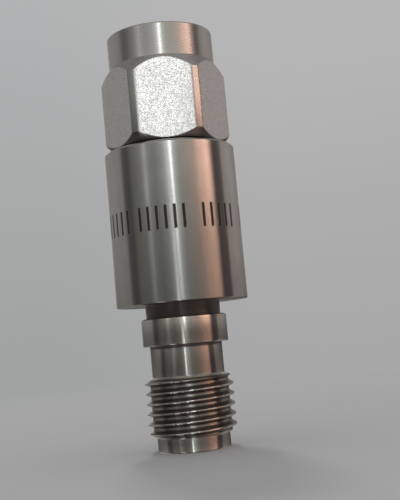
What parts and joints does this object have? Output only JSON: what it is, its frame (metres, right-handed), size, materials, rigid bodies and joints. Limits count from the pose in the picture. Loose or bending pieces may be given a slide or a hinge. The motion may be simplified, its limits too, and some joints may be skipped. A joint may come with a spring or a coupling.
{
  "type": "coaxial attenuator",
  "caption": "Straight coaxial attenuator: a turned barrel between a threaded jack and a plug with a free-turning hexagon nut.",
  "frame": {"origin": "centre of the jack's end face, at the bottom of the part", "axes": "+Z along the axis from the jack to the plug, -Y the way one flat of the hexagon faces"},
  "size_m": [0.0094, 0.0094, 0.0297],
  "materials": {
    "barrel_steel": "fine turned",
    "shell_steel": "turned",
    "nut_steel": "milled flats and turned ends",
    "spring_metal": "stamped",
    "contact_gold": "gold plated",
    "bead_white": "matt",
    "gasket_red": "matt",
    "card_ceramic": "fired",
    "resistor_film": "matt",
    "film_silver": "fired"
  },
  "bodies": {
    "attenuator_body": {"female_shell": "shell_steel", "male_shell": "shell_steel", "barrel": "barrel_steel", "disc_spring": "spring_metal", "female_socket": "contact_gold", "male_pin": "contact_gold", "ground_clamp_upper": "contact_gold", "ground_clamp_lower": "contact_gold", "female_bead_front": "bead_white", "female_bead_rear": "bead_white", "male_bead_front": "bead_white", "male_bead_rear": "bead_white", "face_gasket": "gasket_red", "card_substrate": "card_ceramic", "resistor_film": "resistor_film", "jack_terminal": "film_silver", "plug_terminal": "film_silver", "ground_strip_left": "film_silver", "ground_strip_right": "film_silver"},
    "ring": {"snap_ring": "spring_metal"},
    "nut": {"coupling_nut": "nut_steel"}
  },
  "joints": [
    {"name": "nut_float", "type": "slide", "parent": "attenuator_body", "child": "ring", "axis": [0, 0, 1], "range_m": [0, 0.0003]},
    {"name": "nut_spin", "type": "hinge", "parent": "ring", "child": "nut", "pos_m": [0, 0, 0.0229], "axis": [0, 0, 1], "continuous": true}
  ]
}
